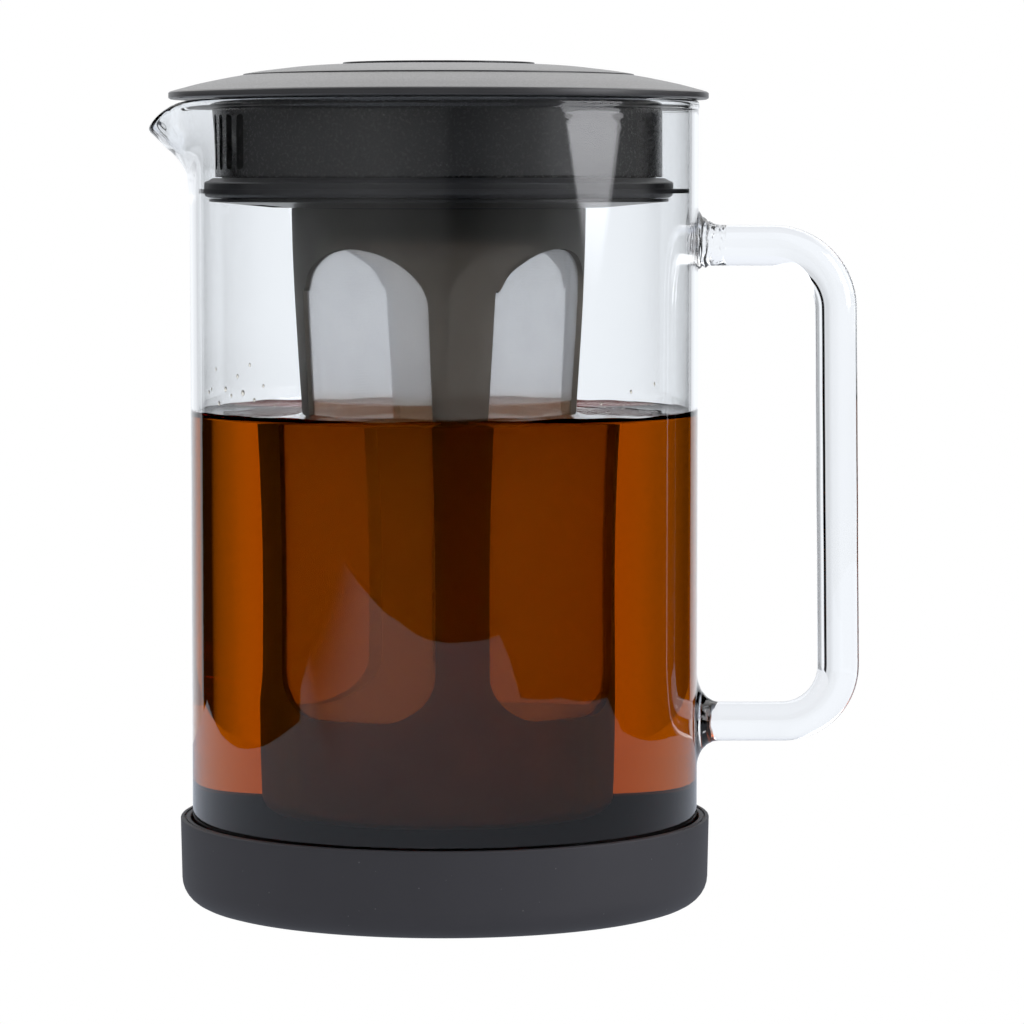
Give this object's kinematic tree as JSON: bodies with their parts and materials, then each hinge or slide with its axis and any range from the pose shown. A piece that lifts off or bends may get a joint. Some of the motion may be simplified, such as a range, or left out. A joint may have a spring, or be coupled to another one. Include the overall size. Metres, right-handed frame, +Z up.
{
  "type": "cold brew coffee maker",
  "caption": "Glass jug with a pouring spout and a solid glass handle, a seal-fitted lid that carries a long brewing filter, and a soft boot under the base.",
  "frame": {"origin": "centre of the boot's underside, on the glass axis, at floor level", "axes": "+Z up along the glass axis, +X towards the handle, -X towards the spout, -Y towards the viewer of the picture"},
  "size_m": [0.1705, 0.129, 0.2016],
  "materials": {
    "clear_glass": "polished",
    "boot_rubber": "matt",
    "lid_plastic": "fine texture",
    "plug_plastic": "satin",
    "seal_rubber": "satin",
    "smoky_plastic": "smoky translucent",
    "filter_mesh": "fine woven mesh"
  },
  "bodies": {
    "base": {"base_boot": "boot_rubber"},
    "carafe": {"glass_carafe": "clear_glass", "glass_handle": "clear_glass"},
    "seal": {"lid_gasket": "seal_rubber"},
    "lid": {"lid_cover": "lid_plastic", "lid_step_disc": "lid_plastic", "lid_centre_cap": "lid_plastic", "lid_plug": "plug_plastic", "plug_base_plate": "plug_plastic"},
    "filter": {"filter_frame": "smoky_plastic", "filter_mesh_front_left": "filter_mesh", "filter_mesh_front_right": "filter_mesh", "filter_mesh_back_right": "filter_mesh", "filter_mesh_back_left": "filter_mesh"}
  },
  "joints": [
    {"name": "boot_pull", "type": "slide", "parent": "base", "child": "carafe", "axis": [0, 0, 1], "range_m": [0, 0.03]},
    {"name": "lid_lift", "type": "slide", "parent": "carafe", "child": "seal", "axis": [0, 0, 1], "range_m": [0, 0.185]},
    {"name": "lid_turn", "type": "hinge", "parent": "seal", "child": "lid", "pos_m": [-0.0013, 0, 0.19], "axis": [0, 0, 1], "continuous": true},
    {"name": "filter_twist", "type": "hinge", "parent": "lid", "child": "filter", "pos_m": [-0.0013, 0, 0.16], "axis": [0, 0, 1], "range_deg": [0, 30]}
  ]
}
